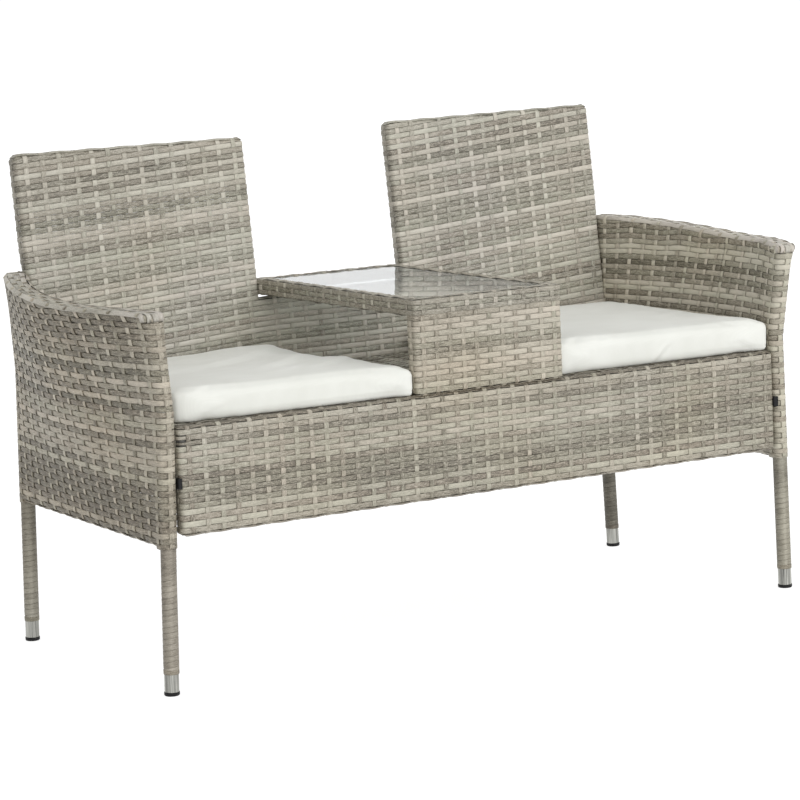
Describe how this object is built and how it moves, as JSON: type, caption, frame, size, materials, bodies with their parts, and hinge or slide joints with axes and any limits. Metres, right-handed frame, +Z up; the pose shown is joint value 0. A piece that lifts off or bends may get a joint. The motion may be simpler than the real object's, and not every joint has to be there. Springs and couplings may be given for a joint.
{
  "type": "companion seat bench",
  "caption": "Two-seat woven garden bench with high backs, bowed arms, loose seat cushions and a small fixed table with an inset glass top.",
  "frame": {"origin": "floor level under the centre of the bench's bounding box", "axes": "+X along the bench, to the right seen from the front; the front faces -Y; +Z up"},
  "size_m": [1.3862, 0.5942, 0.8399],
  "materials": {
    "woven_strip": "flat synthetic wicker strip with brushed streaks, every strand its own grey-beige tone",
    "bare_steel_tube": "bright drawn steel tube, bare at the foot",
    "painted_steel": "satin grey-brown powder coat",
    "cushion_fabric": "off-white woven polyester",
    "clear_glass": "clear toughened pane with ground edges",
    "clear_pad": "translucent soft bumper",
    "black_plastic": "black moulded plastic",
    "zinc_steel": "zinc-plated steel"
  },
  "bodies": {
    "root": {"apron_back_weave": "woven_strip", "apron_bottom_rail": "painted_steel", "apron_front_weave": "woven_strip", "apron_left_end_post": "painted_steel", "apron_right_end_post": "painted_steel", "apron_top_rail": "painted_steel", "assembly_bolts": "zinc_steel", "back_lower_rail": "painted_steel", "back_middle_rail": "painted_steel", "foot_caps": "black_plastic", "glass_pads": "clear_pad", "glass_support_tabs": "painted_steel", "left_arm_edge_wrap": "woven_strip", "left_arm_front_leg_tube": "bare_steel_tube", "left_arm_inner_weave": "woven_strip", "left_arm_lower_rail": "painted_steel", "left_arm_outer_weave": "woven_strip", "left_arm_rear_leg_tube": "bare_steel_tube", "left_arm_top_rail": "painted_steel", "left_back_front_weave": "woven_strip", "left_back_inner_upright": "painted_steel", "left_back_outer_upright": "painted_steel", "left_back_rear_weave": "woven_strip", "left_back_top_rail": "painted_steel", "middle_back_front_weave": "woven_strip", "middle_back_rear_weave": "woven_strip", "panel_spacers": "black_plastic", "right_arm_edge_wrap": "woven_strip", "right_arm_front_leg_tube": "bare_steel_tube", "right_arm_inner_weave": "woven_strip", "right_arm_lower_rail": "painted_steel", "right_arm_outer_weave": "woven_strip", "right_arm_rear_leg_tube": "bare_steel_tube", "right_arm_top_rail": "painted_steel", "right_back_front_weave": "woven_strip", "right_back_inner_upright": "painted_steel", "right_back_outer_upright": "painted_steel", "right_back_rear_weave": "woven_strip", "right_back_top_rail": "painted_steel", "rivet_nuts": "zinc_steel", "seat_cross_bars": "painted_steel", "seat_deck_weave": "woven_strip", "seat_left_side_rail": "painted_steel", "seat_rear_rail": "painted_steel", "seat_right_side_rail": "painted_steel", "table_front_rail": "painted_steel", "table_left_rail": "painted_steel", "table_left_upright": "painted_steel", "table_panel_back_weave": "woven_strip", "table_panel_bottom_rail": "painted_steel", "table_panel_front_weave": "woven_strip", "table_rear_rail": "painted_steel", "table_right_rail": "painted_steel", "table_right_upright": "painted_steel", "table_rim_weave": "woven_strip"},
    "left_seat_cushion": {"left_cushion": "cushion_fabric"},
    "right_seat_cushion": {"right_cushion": "cushion_fabric"},
    "glass_pane": {"table_glass": "clear_glass"}
  },
  "joints": [
    {"name": "left_cushion_lift", "type": "slide", "parent": "root", "child": "left_seat_cushion", "axis": [0, 0, 1], "range_m": [0, 0.42]},
    {"name": "right_cushion_lift", "type": "slide", "parent": "root", "child": "right_seat_cushion", "axis": [0, 0, 1], "range_m": [0, 0.42]},
    {"name": "glass_lift", "type": "slide", "parent": "root", "child": "glass_pane", "axis": [0, 0, 1], "range_m": [0, 0.27]}
  ]
}
